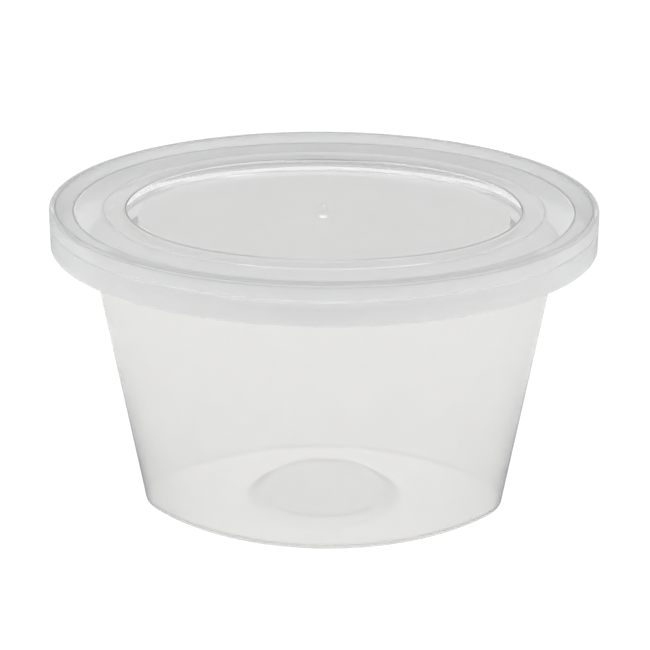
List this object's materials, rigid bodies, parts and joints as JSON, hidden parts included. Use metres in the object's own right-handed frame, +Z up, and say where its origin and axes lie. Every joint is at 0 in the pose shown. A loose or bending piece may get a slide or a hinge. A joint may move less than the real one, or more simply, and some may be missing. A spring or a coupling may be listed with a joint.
{
  "type": "oval portion cup with press-on lid",
  "caption": "Small clear oval plastic cup that tapers to a pointed oval base, closed by a press-on lid with a sunk panel and a plain skirt. Empty.",
  "frame": {"origin": "middle of the underside of the base, on the surface that the cup stands on", "axes": "+X along the oval's length, +Y along its width, +Z up through the lid"},
  "size_m": [0.098, 0.077, 0.0598],
  "materials": {
    "cup_plastic": "clear, slightly milky polypropylene with smooth glossy faces",
    "lid_plastic": "clear, slightly milky polypropylene, glossy on the panel and the rim"
  },
  "bodies": {
    "root": {"cup": "cup_plastic", "lid": "lid_plastic"}
  },
  "joints": []
}
